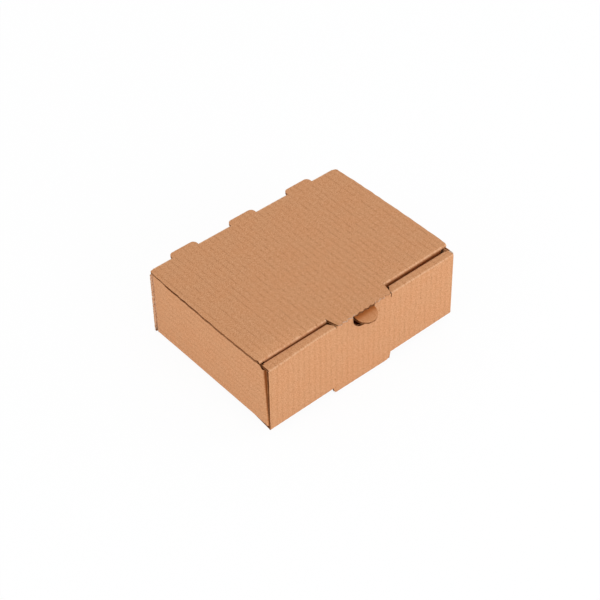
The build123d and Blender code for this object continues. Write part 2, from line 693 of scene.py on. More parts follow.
@dataclass(frozen=True)
class KraftLiner:
    """Brown uncoated liner over flutes. Pattern sizes count in flutes."""

    name: str = "kraft_liner"
    warm: Colour = (0.57, 0.264, 0.118, 1.0)
    cool: Colour = (0.565, 0.27, 0.124, 1.0)
    dark: Colour = (0.40, 0.165, 0.062, 1.0)
    light: Colour = (0.68, 0.36, 0.19, 1.0)
    line: Colour = (0.22, 0.085, 0.03, 1.0)
    # Paler colour of creases: partly wear, partly painted highlight.
    wear_and_highlight: Colour = (0.80, 0.52, 0.33, 1.0)
    # Painted shade colour, for the gaps and for the strip under the lid's tab.
    painted_shade_colour: Colour = (0.46, 0.145, 0.032, 1.0)
    cloud: Cloud = Cloud((0.3, 0.3, 1.0), 3.0)
    grain: Cloud = Cloud((7.0, 6.0, 1.0), 4.0)
    mottle: Cloud = Cloud((2.6, 2.0, 1.0), 3.0)
    wander: Cloud = Cloud((0.6, 0.5, 1.0), 2.0)
    dashes: Cloud = Cloud((0.97, 0.7, 1.0), 3.0)
    hue_steps: Point = (0.38, 0.62)
    dash_steps: Point = (0.42, 0.64)
    wear_and_highlight_steps: Point = (0.3, 0.6)
    wander_share: float = 0.16
    line_half_share: float = 0.07
    line_strength: float = 0.44
    washboard_shade_share: float = 0.04
    grain_share: float = 2.3
    mottle_share: float = 0.65
    wear_and_highlight_share: float = 0.42
    roughness: float = 0.86
    rough_share: float = 0.15
    gloss: float = 0.25
    bump: float = 0.25

    def make(self) -> bpy.types.Material:
        """Builds the material.

        Returns:
            A material on the blank's own coordinates.
        """
        material = bpy.data.materials.new(self.name)
        graph = Graph(material)
        blank = graph.node("ShaderNodeUVMap", {"uv_map": "blank"}).outputs[0]
        axes = graph.node("ShaderNodeSeparateXYZ", None, {0: blank})
        across = Signal(graph, axes.outputs[0])
        cloud = graph.noise(blank, self.cloud)
        grain = graph.noise(blank, self.grain)
        mottle = graph.noise(blank, self.mottle)
        wander = graph.noise(blank, self.wander)
        dashes = graph.noise(blank, self.dashes)
        place = across + (wander - 0.5) * self.wander_share
        off_line = abs((place + 0.5).fraction() - 0.5)
        wear_and_highlight = graph.mark("crease")
        # Flute lines: partly the board's own darker lines over the flutes, partly painted shade of the
        # washboard; left off on creases.
        line = (1 - off_line.step(0.0, self.line_half_share)) * dashes.step(*self.dash_steps) * (1 - wear_and_highlight)
        # Painted shade: a soft wave of darker and lighter paper across each flute, for the shading of the
        # washboard relief.
        washboard_shade = (place * math.tau).cosine() * self.washboard_shade_share
        tone = 0.5 + (grain - 0.5) * self.grain_share + (mottle - 0.5) * self.mottle_share - washboard_shade
        hue = graph.mix(cloud.step(*self.hue_steps), self.warm, self.cool)
        colour = graph.mix(tone.step(0.5, 1.0), hue, self.light)
        colour = graph.mix(1 - tone.step(0.0, 0.5), colour, self.dark)
        colour = graph.mix(line * self.line_strength, colour, self.line)
        # Paler along creases: partly worn fibres, partly a painted highlight on the folds.
        colour = graph.mix(wear_and_highlight * wear_and_highlight * mottle.step(*self.wear_and_highlight_steps) * self.wear_and_highlight_share, colour, self.wear_and_highlight)
        # Painted shade: the mark darkens the paper to a deep, saturated brown in the gaps and under the
        # lid's tab, where shade falls.
        colour = graph.mix(graph.mark("painted_shade"), colour, self.painted_shade_colour)
        roughness = self.roughness + (grain - 0.5) * self.rough_share
        graph.skin(colour, roughness, self.gloss, self.bump, grain + mottle - line)
        return material


@dataclass(frozen=True)
class RawEdge:
    """Raw fibrous paper of a cut edge or the fluted medium, its colours darkened as painted shade. Pattern
    sizes count in metres.
    """

    name: str = "raw_edge"
    # Painted shade: dark and light are darker than the paper, for the shade of gaps and hollows; plain is
    # the edge's own colour, shown unshaded.
    dark: Colour = (0.16, 0.045, 0.008, 1.0)
    light: Colour = (0.40, 0.16, 0.052, 1.0)
    unshaded_and_torn: float = 1.0
    plain: Colour = (0.57, 0.27, 0.12, 1.0)
    torn: Colour = (0.86, 0.72, 0.60, 1.0)
    fibre: Cloud = Cloud((3000.0,) * 3, 3.0)
    patch: Cloud = Cloud((375.0,) * 3, 2.0)
    speck: Cloud = Cloud((1000.0,) * 3, 1.0)
    fibre_share: float = 0.6
    tone_steps: Point = (0.42, 0.72)
    plain_steps: Point = (0.0, 0.4)
    torn_steps: Point = (0.92, 1.0)
    torn_share: float = 0.5
    roughness: float = 0.95
    gloss: float = 0.2
    bump: float = 0.4

    def make(self) -> bpy.types.Material:
        """Builds the material.

        Returns:
            A material on object coordinates.
        """
        material = bpy.data.materials.new(self.name)
        graph = Graph(material)
        place = graph.node("ShaderNodeTexCoord").outputs["Object"]
        fibre = graph.noise(place, self.fibre)
        patch = graph.noise(place, self.patch)
        specks = graph.noise(place, self.speck)
        tone = fibre * self.fibre_share + patch * (1 - self.fibre_share)
        colour = graph.mix(tone.step(*self.tone_steps), self.dark, self.light)
        torn = graph.mark("unshaded_and_torn")
        # Where the edge's mark rises above 0, the painted shade gives way to the plain colour, fully from
        # 0.4; higher marks add torn specks.
        colour = graph.mix(torn.step(*self.plain_steps) * self.unshaded_and_torn, colour, self.plain)
        specks = (torn * self.torn_share + specks).step(*self.torn_steps)
        colour = graph.mix(specks * self.unshaded_and_torn, colour, self.torn)
        graph.skin(colour, self.roughness, self.gloss, self.bump, fibre)
        return material


@dataclass(frozen=True)
class Papers:
    """The materials of a sheet, in the order of Paper."""

    liner: bpy.types.Material
    raw: bpy.types.Material
    flute: bpy.types.Material

    def dress(self, pieces: Sequence[bpy.types.Object], body: str) -> None:
        """Gives a body's pieces their papers and body.

        Args:
            pieces: the pieces.
            body: the body that they move with.
        """
        for piece in pieces:
            for material in (self.liner, self.raw, self.flute):
                piece.data.materials.append(material)
            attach(piece, body)
            log.info("%s: %d faces, on %s", piece.name, len(piece.data.polygons), body)


@dataclass(frozen=True)
class BoxSizes:
    """Sizes that the sheets share, in metres. The outer ones come from the frame."""

    width: float
    front: float
    back: float
    top: float
    lowest: float
    vent_end: float
    hinge: Point
    lid_half: float
    cavity: float = 1.9 * MM
    side_top: float = 38.4 * MM
    end_gap: float = 1.7 * MM
    kerf: float = 0.22 * MM
    tab_back: float = 18.5 * MM
    tab_front: float = 16.9 * MM
    tab_gap: float = 0.4 * MM
    lid_gap: float = 1.3 * MM
    vent_pitch: float = 36.8 * MM
    vent_half: float = 8.0 * MM
    vent_shift: float = 0.9 * MM
    vent_corner: float = 2.4 * MM
    vent_gap: float = 0.3 * MM
    slot_half: float = 18.7 * MM
    beyond: float = 8.0 * MM

    @classmethod
    def from_frame(cls) -> "BoxSizes":
        """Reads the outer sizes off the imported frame.

        Returns:
            The box's sizes.
        """
        tray_low, tray_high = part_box("tray")
        lid_low, lid_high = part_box("lid")
        axis = frame["joints"][0]["pos_m"]
        return cls(width=tray_high.x - tray_low.x, front=lid_low.y, back=tray_high.y, top=tray_high.z,
                   lowest=tray_low.z, vent_end=lid_high.y, hinge=(axis[1], axis[2]), lid_half=lid_high.x)

    @property
    def vents(self) -> list[float]:
        """Middles of the vents along the back edge."""
        return [step * self.vent_pitch - self.vent_shift for step in (-1, 0, 1)]

    def between_vents(self, reach: float) -> list[Point]:
        """The stretches of the back edge between the vents, out to a reach at both ends.

        Args:
            reach: half the length of the whole edge.

        Returns:
            Both ends of each stretch, from left to right.
        """
        marks = [-reach]
        for x in self.vents:
            marks += [x - self.vent_half, x + self.vent_half]
        marks.append(reach)
        return list(zip(marks[::2], marks[1::2]))


class Side(Enum):
    """The box's two sides, with the sign of X there."""

    LEFT = -1
    RIGHT = 1


@dataclass
class TrayPart:
    """What the tray's sheets share: where the walls stand, and how the worn box has settled."""

    sizes: BoxSizes
    board: Board
    row: float = 9.0 * MM
    bend_steps: int = 5
    press_foot: float = 36.3 * MM
    lean_reach: float = 34.0 * MM
    settle: float = 0.5 * MM
    end_reach: float = 2.5 * MM
    end_pale: float = 1.5

    def __post_init__(self) -> None:
        """Works out where the walls stand."""
        s, half = self.sizes, self.board.half
        self.y_front = s.front + half
        self.y_inner = s.front + self.board.thickness + s.cavity + half
        self.y_back = s.back - half


@dataclass
class Column(TrayPart):
    """Back wall, base, front panel, strip and inner panel, folded from one run of the sheet."""

    wall_gap: float = 0.3 * MM
    vent_foot: float = 34.14 * MM
    corner_steps: int = 5
    lock_half: float = 18.1 * MM
    lip_top: float = 39.15 * MM
    lip_pinch: float = 0.55
    slit_foot: float = 36.5 * MM
    slit_shift: float = 1.35 * MM
    slit_spread: float = 0.45 * MM
    wedge: float = 0.3 * MM
    thumb_radius: float = 6.9 * MM
    thumb_top: float = 36.8 * MM
    thumb_middle: float = 0.5 * MM
    thumb_steps: int = 18
    notch_over: float = 1.0 * MM
    window_margin: float = 2.5 * MM
    tongue_taper: float = 0.8 * MM
    tongue_corner: float = 2.6 * MM
    tongue_left_corner: float = 1.3 * MM
    tongue_drop: float = 1.2 * MM
    tongue_slant: float = 0.2 * MM
    corner_lean: float = 1.3 * MM
    front_drop: float = 2.2 * MM
    drop_skew: float = 0.9 * MM
    drop_reach: float = 34.0 / 3 * MM
    foot_trim: float = 1.0 * MM
    end_trim: float = 0.1 * MM
    end_pale_width: float = 1.3 * MM
    end_spread: float = 0.6 * MM
    strip_end_gap: float = 0.05 * MM
    strip_left_gap: float = 0.6 * MM
    # Painted shade runs this far down the inner panel from its fold.
    painted_shade_reach: float = 6.0 * MM
    wall_fray: float = 0.8
    strip_fray: float = 1.4

    def __post_init__(self) -> None:
        """Works out the run of the folded column."""
        super().__post_init__()
        low, high = self.board.half, self.sizes.top - self.board.half
        start = (self.y_back, self.sizes.side_top - self.wall_gap)
        corners = [(self.y_back, low), (self.y_front, low), (self.y_front, high), (self.y_inner, high)]
        self.path = FoldPath([start, *corners, (self.y_inner, 0.0)], [self.board.bend] * len(corners))
        self.wall, self.base, self.front, _, self.inner = self.path.runs
        self.back_fold, self.foot_fold, self.lip_fold, self.inner_fold = self.path.bends

    @property
    def lip_foot(self) -> float:
        """Height at which the front panel's fold begins."""
        return self.front.at(self.front.end)[0].y

    def tongue_end(self, u: float) -> float:
        """Place along the column where the slot tongue is cut off the base, aslant.

        Args:
            u: place across the flutes.

        Returns:
            The place along the column.
        """
        run = self.front
        tip = run.start - (run.origin.y - self.sizes.lowest) + self.front_drop - self.tongue_drop
        return tip - self.tongue_slant * (u + self.sizes.slot_half) / (2 * self.sizes.slot_half)

    def make(self) -> bpy.types.Object:
        """Cuts and folds the column.

        Returns:
            The folded piece.
        """
        s, path = self.sizes, self.path
        edge = s.width / 2
        sheet = Sheet(self.board, (-edge, edge), path.stations(self.row, self.bend_steps))
        self.cut_vents(sheet)
        split = (self.lip_fold.start + self.lip_fold.end) / 2
        lock = self.inner.reach((self.y_inner, s.end_gap))
        past = path.end + s.beyond
        for side, strip_gap in ((-1, self.strip_left_gap), (1, self.strip_end_gap)):
            for half, rows in ((edge - self.end_trim, (-s.beyond, self.wall.end)),
                               (edge - self.board.turn - s.kerf, (self.base.start, self.base.end)),
                               (edge - strip_gap, (split, self.inner_fold.end)),
                               (edge - s.end_gap, (self.inner_fold.start, past)),
                               (self.lock_half, (lock, past))):
                sheet.cut_box((side * half, side * (edge + s.beyond)), rows)
        foot, head = self.foot_fold.start, self.lip_fold.end
        sheet.cut([(-edge - s.beyond, foot), (self.foot_trim - edge, foot), (-edge, head),
                   (-edge - s.beyond, head)])
        self.cut_tab_place(sheet)
        self.cut_tongue(sheet)
        return sheet.fold("tray_column", self.place, self.crease, self.unshaded_and_torn, self.painted_shade)

    def cut_vents(self, sheet: Sheet) -> None:
        """Cuts the vents out of the back wall's top edge.

        Args:
            sheet: the flat sheet.
        """
        s = self.sizes
        half = s.vent_half + s.vent_gap
        depth = self.wall.origin.y - self.vent_foot
        r = s.vent_corner
        for x in s.vents:
            right = arc((x + half - r, depth - r), r, 0, math.pi / 2, self.corner_steps)
            left = arc((x - half + r, depth - r), r, math.pi / 2, math.pi, self.corner_steps)
            sheet.cut([(x + half, -s.beyond), *right, *left, (x - half, -s.beyond)])

    def cut_tab_place(self, sheet: Sheet) -> None:
        """Cuts the strip away under the lid's tab, with a slit at each side and the thumb notch.

        Args:
            sheet: the flat sheet.
        """
        s, front, inner = self.sizes, self.front, self.inner
        lip_end = front.end + self.lip_top - self.lip_foot
        near, far = s.tab_front + s.tab_gap, s.tab_back + s.tab_gap
        right = near + self.slit_shift
        foot = inner.reach((self.y_inner, self.press_foot))
        for low, high, slit_foot in ((-near, s.tab_gap - near, self.lip_foot),
                                     (right - 2 * s.kerf, right, self.slit_foot)):
            sheet.cut_box((low, high), (front.reach((self.y_front, slit_foot)), lip_end + MICRON))
        sheet.cut([(-near, lip_end), (right, lip_end),
                   (far + self.slit_shift + self.slit_spread, inner.start),
                   (far, foot), (-far, foot), (-far - self.wedge, inner.start)])
        x, r = self.thumb_middle, self.thumb_radius
        behind = inner.reach((self.y_inner, self.thumb_top))
        sheet.cut(arc((x, behind), r + self.window_margin, 0, math.pi, self.thumb_steps))
        middle = front.end + self.thumb_top - self.lip_foot
        over = lip_end + self.notch_over
        sheet.cut([*arc((x, middle), r, math.pi, math.tau, self.thumb_steps), (x + r, over), (x - r, over)])

    def cut_tongue(self, sheet: Sheet) -> None:
        """Frees the slot tongue from the base.

        Args:
            sheet: the flat sheet.
        """
        s, root = self.sizes, self.foot_fold.end
        half, out = s.slot_half, s.slot_half + s.kerf
        narrow = half - self.tongue_taper
        left, right = self.tongue_end(-out), self.tongue_end(out)
        sheet.cut([(-out, left), (out, right), (out, right - s.kerf), (-out, left - s.kerf)])
        for side, corner in ((-1, self.tongue_left_corner), (1, self.tongue_corner)):
            tip = self.tongue_end(side * narrow)
            sheet.cut_box((side * half, side * out), (self.tongue_end(side * out) - s.kerf, root))
            sheet.cut([(side * half, root - self.board.turn), (side * narrow, tip),
                       (side * out, self.tongue_end(side * out)), (side * out, root - self.board.turn)])
            sheet.round_off((side * narrow, tip), (side * half, root), (0, self.tongue_end(0)), corner)

    def place(self, u: float, v: float, h: float) -> Vector:
        """Puts a point of the column's sheet in its place on the folded box.

        Args:
            u: place across the flutes.
            v: place along the run.
            h: height over the board's middle, positive on the outside.

        Returns:
            Where the point lies on the box.
        """
        s, front = self.sizes, self.front
        lip_right = s.tab_front + s.tab_gap + self.slit_shift - s.kerf
        lip_left = -s.tab_front - s.tab_gap / 2
        if lip_left < u < lip_right and front.end < v < self.lip_fold.end:
            spot, normal = front.at(v)
            pinch = self.lip_pinch * smooth(front.end, front.end + self.lip_top - self.lip_foot, v)
            h = self.board.pinch(h, pinch)
        elif abs(u) < s.slot_half + s.kerf / 2 and self.tongue_end(u) - s.kerf / 2 < v < self.foot_fold.end:
            spot, normal = front.at(v)
        else:
            spot, normal = self.path.at(v)
            h = self.board.crush(h, self.path.crease(v))
        if v < self.back_fold.start:
            end = s.width / 2 - self.end_trim
            near_end = smooth(end - self.end_reach, end, abs(u))
            h = self.board.press(h, near_end)
            u += math.copysign(self.end_spread * near_end, u)
        spot = spot + normal * h
        return self.lean(Vector((u, spot.x, spot.y)))

    def lean(self, spot: Vector) -> Vector:
        """Tips the front's left end forward and presses the base down along the front.

        Args:
            spot: a point of the square box.

        Returns:
            The same point as it stands on the real box.
        """
        half = self.sizes.width / 2
        near_corner = smooth(self.lean_reach - half, -half, spot.x)
        near_front = smooth(self.y_inner + self.drop_reach, self.y_inner, spot.y)
        on_front = smooth(self.y_inner + self.board.half, self.y_front, spot.y)
        raised = smooth(0, self.sizes.top, spot.z)
        slant = self.drop_skew * spot.x / half * smooth(-self.front_drop, 0, spot.z)
        low = clamp(1 - spot.z / self.lip_foot)
        pressed = low * (self.settle + (self.front_drop - self.settle - slant) * near_front)
        return spot - Vector((0, self.corner_lean * near_corner * on_front * raised, pressed))

    def crease(self, u: float, v: float) -> float:
        """How creased the column is, which paints it paler, partly as wear and partly as a painted
        highlight: the lip under the lid's tab and the slot tongue are flat.

        Args:
            u: place across the flutes.
            v: place along the run.

        Returns:
            0 for flat, 1 for a full crease, and more at the back wall's ends, painted paler still.
        """
        if v < self.back_fold.start and abs(u) > self.sizes.width / 2 - self.end_pale_width:
            return self.end_pale
        on_lip = abs(u) < self.sizes.tab_front and self.lip_fold.start < v < self.lip_fold.end
        on_tongue = abs(u) < self.sizes.slot_half and self.tongue_end(u) < v < self.foot_fold.end
        return 0.0 if on_lip or on_tongue else self.path.crease(v)

    def unshaded_and_torn(self, u: float, v: float) -> float:
        """How far the column's cut edges are lifted from their painted shade, and how torn they are: the
        back wall's ends and the strip's right end.

        Args:
            u: place across the flutes.
            v: place along the run.

        Returns:
            0 for an edge left in painted shade, and more where it shows its plain colour and torn specks.
        """
        if v < self.back_fold.start:
            return self.wall_fray
        on_end = u > self.sizes.width / 2 - self.end_reach
        return self.strip_fray if on_end and v > self.lip_fold.start else 0.0

    def painted_shade(self, u: float, v: float) -> float:
        """How much painted shade the column gets: most where the inner panel hangs from the strip.

        Args:
            u: place across the flutes; not used.
            v: place along the run.

        Returns:
            0 for plain paper, up to 1 for full painted shade.
        """
        fold = self.inner_fold
        below = smooth(fold.end + 2 * self.painted_shade_reach, fold.end + self.painted_shade_reach, v)
        return smooth(fold.start, fold.end, v) * below


@dataclass
class SideWall(TrayPart):
    """A side wall with its fold at the base and a flap at each end."""

    side: Side = Side.LEFT
    flap_length: float = 30.0 * MM
    front_flap_top: float = 36.4 * MM
    back_flap_top: float = 32.6 * MM
    # Share of the front fold that the left flap's painted shade reaches into.
    flap_shade_share: float = 0.35
    wall_bulge: float = 1.3 * MM
    wall_rise: float = 0.5 * MM
    rise_reach: float = 2.2 * MM
    right_poke: float = 1.2 * MM
    corner_foot: float = 0.5 * MM
    corner_poke: float = 0.9 * MM
    corner_back: float = 1.1 * MM
    corner_notch: float = 1.7 * MM
    corner_fray: float = 1.5

    def __post_init__(self) -> None:
        """Works out the run from flap to flap, which starts at the left wall's front."""
        super().__post_init__()
        s, sign = self.sizes, self.side.value
        self.on_left = self.side is Side.LEFT
        self.fold_top = self.board.turn
        self.foot = self.fold_top - self.board.bend * math.pi / 2
        self.x_wall = sign * (s.width / 2 - self.board.half)
        x_end = sign * (s.width / 2 - self.flap_length)
        y_corner = sign * (s.back - self.board.thickness - s.cavity / 2)
        self.path = FoldPath([(x_end, y_corner), (self.x_wall, y_corner), (self.x_wall, -y_corner),
                              (x_end, -y_corner)], [self.board.bend] * 2)
        self.front_fold, self.back_fold = self.path.bends[::-sign]

    def make(self) -> bpy.types.Object:
        """Cuts and folds the side.

        Returns:
            The folded piece.
        """
        s, path = self.sizes, self.path
        wall_edge = path.runs[1].reach((self.x_wall, self.y_inner + self.rise_reach))
        rows = sorted(path.stations(self.row, self.bend_steps) + [wall_edge])
        sheet = Sheet(self.board, (self.foot, s.side_top), rows)
        below, above = self.foot - s.beyond, s.side_top + s.beyond
        first, last = path.bends
        tops = {self.front_fold.start: self.front_flap_top, self.back_fold.start: self.back_flap_top}
        for fold, wall, flap, past in ((first, first.end, first.start, -s.beyond),
                                       (last, last.start, last.end, path.end + s.beyond)):
            slit = wall + math.copysign(s.kerf / 2, wall - past)
            sheet.cut_box((below, self.fold_top), (slit, wall))
            sheet.cut_box((below, s.end_gap), (past, flap))
            sheet.cut_box((below, self.corner_foot), (flap, wall))
            sheet.cut_box((tops[fold.start], above), (past, flap))
        if self.on_left:
            notch, top = s.side_top - self.corner_notch, s.side_top + MICRON
            sheet.cut_box((notch, above), (-s.beyond, first.end))
            sheet.cut([(notch, first.end), (top, first.end), (top, first.end + self.corner_notch)])
        name = f"tray_side_{self.side.name.lower()}"
        return sheet.fold(name, self.place, self.crease, self.unshaded_and_torn, self.painted_shade)

    def near_front(self, v: float) -> float:
        """How near a place along the side is to its front fold.

        Args:
            v: place along the run.

        Returns:
            1 at the fold, and 0 away from it.
        """
        fold = self.front_fold
        reach = self.board.thickness if self.on_left else 2 * self.end_reach
        return smooth(fold.start - reach, fold.start, v) * smooth(fold.end + self.sizes.beyond, fold.end, v)

    def place(self, u: float, v: float, h: float) -> Vector:
        """Puts a point of the side's sheet in its place.

        Args:
            u: place across the flutes, which run level.
            v: place along the run.
            h: height over the board's middle, positive on the outside.

        Returns:
            Where the point lies on the box.
        """
        board, height = self.board, self.sizes.side_top
        spot, normal = self.path.at(v)
        h = board.crush(h, self.path.crease(v))
        if self.on_left:
            dent = (self.corner_back + self.corner_poke) * u / height - self.corner_poke
            spot = spot + Vector((0, dent * self.near_front(v)))
        else:
            spot = spot - Vector((0, self.right_poke * u / height * self.near_front(v)))
            h = board.press(h, smooth(height - self.end_reach, height, u) * self.near_front(v))
        first, last = self.path.bends
        if u >= self.fold_top or v < first.end + MICRON or v > last.start - MICRON:
            spot = spot + normal * h
            return self.bulge(Vector((spot.x, spot.y, u)))
        angle = (self.fold_top - u) / board.bend
        reach = board.bend + board.crush(h, math.sin(2 * angle))
        spot = spot - normal * board.bend + normal * reach * math.cos(angle)
        return self.bulge(Vector((spot.x, spot.y, self.fold_top - reach * math.sin(angle))))

    def bulge(self, spot: Vector) -> Vector:
        """Settles a side wall's foot and swells the right one at its front top corner.

        Args:
            spot: a point of the square box.

        Returns:
            The same point as it stands on the real box.
        """
        height = self.sizes.side_top
        on_right = smooth(0, height, spot.x)
        near_front = smooth(self.y_inner + self.lean_reach, self.y_inner, spot.y) * on_right
        past_lid = smooth(self.y_inner + self.rise_reach, self.y_inner, spot.y) * on_right
        up = spot.z / height
        rise = self.wall_rise * past_lid * up - self.settle * (1 - up)
        return spot + Vector((self.wall_bulge * near_front * up, 0, rise))

    def crease(self, u: float, v: float) -> float:
        """How pale the side's folds are painted, partly as wear and partly as a painted highlight: only the
        one at the left wall's back end is.
        """
        in_fold = self.back_fold.start + MICRON < v < self.back_fold.end - MICRON
        return self.end_pale if self.on_left and in_fold else 0.0

    def unshaded_and_torn(self, u: float, v: float) -> float:
        """How far the side's top edge is lifted from its painted shade, and how torn it is: most near the
        right front corner.
        """
        return 0.0 if self.on_left else self.corner_fray * self.near_front(v)

    def painted_shade(self, u: float, v: float) -> float:
        """How much painted shade the side gets: only the left front flap, in its slot.

        Args:
            u: place across the flutes; not used.
            v: place along the run.

        Returns:
            0 for plain paper, up to 1 for full painted shade.
        """
        fold = self.front_fold
        start = fold.end - self.flap_shade_share * fold.length
        return smooth(start, fold.start, v) if self.on_left else 0.0


@dataclass
class PressedStrip(TrayPart):
    """The strip's pressed middle with the half-moon tongue."""

    row: float = 0.6 * MM
    level: float = 37.45 * MM
    tilt: float = math.radians(12.5)
    left_inset: float = 1.0 * MM
    moon_radius: float = 6.25 * MM
    moon_middle: float = 1.15 * MM
    moon_pinch: float = 0.4
    moon_steps: int = 10
    # Painted shade on the pressed strip: a little all over, more towards the tongue's end, most under the
    # lid tab's edge.
    strip_shade: float = 0.2
    moon_shade: float = 0.35
    tab_edge_shade: float = 0.45

    def __post_init__(self) -> None:
        """Works out the run from the tongue's tip to the inner panel."""
        super().__post_init__()
        s, r, slope = self.sizes, self.moon_radius, math.tan(self.tilt)
        at_front = self.level - (self.y_inner - s.front) * slope
        tip = (s.front - r, at_front - r * slope)
        self.path = FoldPath([tip, (self.y_inner, self.level), (self.y_inner, self.press_foot)],
                             [self.board.bend])
        self.neck = self.path.runs[0].reach((s.front + self.board.thickness + s.kerf, at_front))
        self.moon_end = self.path.runs[0].reach((s.front, at_front))

    def make(self) -> bpy.types.Object:
        """Cuts and folds the strip.

        Returns:
            The folded piece.
        """
        s, path = self.sizes, self.path
        sheet = Sheet(self.board, (-s.tab_back, s.tab_back), path.stations(self.row, self.bend_steps))
        x, r, neck, root = self.moon_middle, self.moon_radius, self.neck, path.runs[1].start
        tip = self.moon_end - r
        sheet.cut_box((-s.tab_back, s.tab_back), (-s.beyond, tip))
        for side, inset in ((-1, self.left_inset), (1, 0.0)):
            edge, out = x + side * r, side * (s.tab_back + s.beyond)
            sheet.cut_box((edge, out), (-s.beyond, neck))
            sheet.cut([(side * (s.tab_front - inset), neck), (side * (s.tab_back - inset), root),
                       (out, root), (out, neck)])
            sheet.round_off((edge, tip), (edge, self.moon_end), (x, tip), r, self.moon_steps)
        return sheet.fold("tray_pressed_strip", self.place, self.crease, painted_shade=self.painted_shade)

    def place(self, u: float, v: float, h: float) -> Vector:
        """Puts a point of the strip in its place.

        Args:
            u: place across the flutes.
            v: place along the run.
            h: height over the board's middle, positive on the outside.

        Returns:
            Where the point lies on the box.
        """
        spot, normal = self.path.at(v)
        h = self.board.crush(h, self.path.crease(v))
        spot = spot + normal * self.board.pinch(h, self.moon_pinch * smooth(self.neck, 0, v))
        return Vector((u, spot.x, spot.y))

    def crease(self, u: float, v: float) -> float:
        """How creased the strip is."""
        return self.path.crease(v)

    def painted_shade(self, u: float, v: float) -> float:
        """How much painted shade the strip gets: more towards the lid's tab, most in its shadow under the
        tab's edge.

        Args:
            u: place across the flutes; not used.
            v: place along the run.

        Returns:
            0 for plain paper, up to 1 for full painted shade.
        """
        end, kerf = self.moon_end, self.sizes.kerf
        near = smooth(end - self.moon_radius, end, v)
        shade = smooth(end - 3 * kerf - self.board.thickness, end - kerf, v)
        return self.strip_shade + self.moon_shade * near + self.tab_edge_shade * shade


@dataclass
class Tray:
    """Base, walls and the rolled front."""

    sizes: BoxSizes
    board: Board
    papers: Papers

    def build(self) -> None:
        """Makes and dresses every sheet of the tray."""
        column = Column(self.sizes, self.board)
        sides = [SideWall(self.sizes, self.board, side=side) for side in Side]
        strip = PressedStrip(self.sizes, self.board)
        pieces = [part.make() for part in (column, *sides, strip)]
        self.papers.dress(pieces, "tray")
        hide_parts("tray")


